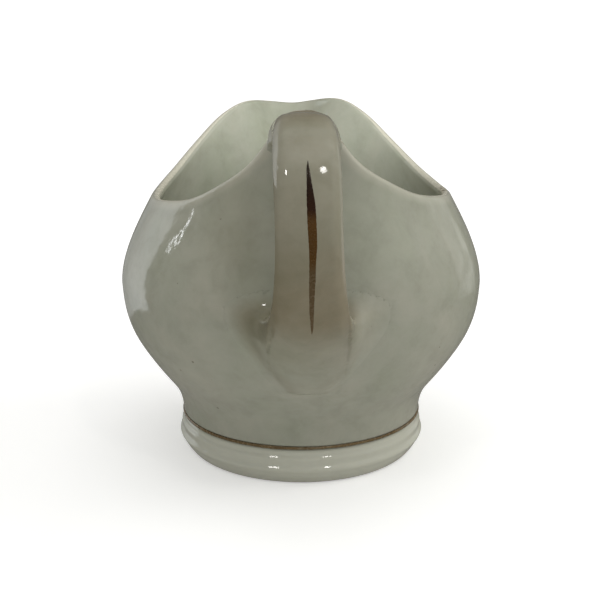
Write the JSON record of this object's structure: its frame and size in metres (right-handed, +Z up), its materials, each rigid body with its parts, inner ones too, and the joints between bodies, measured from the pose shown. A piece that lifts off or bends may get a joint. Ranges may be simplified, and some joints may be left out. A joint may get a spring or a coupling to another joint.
{
  "type": "cream jug",
  "caption": "Small glazed porcelain jug: round belly, pouring lip drawn out at one side, rim raised to a strap handle opposite, on a turned foot ring.",
  "frame": {"origin": "middle of the jug's footprint, halfway between the end of the pouring lip and the back of the handle, on the plane that the foot ring stands on; the axis of the bowl and foot ring is the vertical line 3.2 mm from it towards +Y", "axes": "+Z up, +Y towards the pouring lip, -Y towards the handle, +X to the right of a viewer who stands at the handle and looks towards the lip"},
  "size_m": [0.09, 0.1214, 0.0877],
  "materials": {
    "glazed_porcelain": "clear gloss glaze over grey-ivory porcelain",
    "fired_slip": "fired slip under the glaze",
    "worn_gilding": "burnished gilding, rubbed and darkened"
  },
  "bodies": {
    "root": {"bowl_with_lip": "glazed_porcelain", "foot_ring": "glazed_porcelain", "foot_slip_joint": "fired_slip", "strap_handle": "glazed_porcelain", "handle_rim_slip_joint": "fired_slip", "handle_belly_slip_joint": "fired_slip", "gilt_handle_stroke": "worn_gilding", "gilt_foot_line": "worn_gilding", "gilt_rim_line": "worn_gilding"}
  },
  "joints": []
}
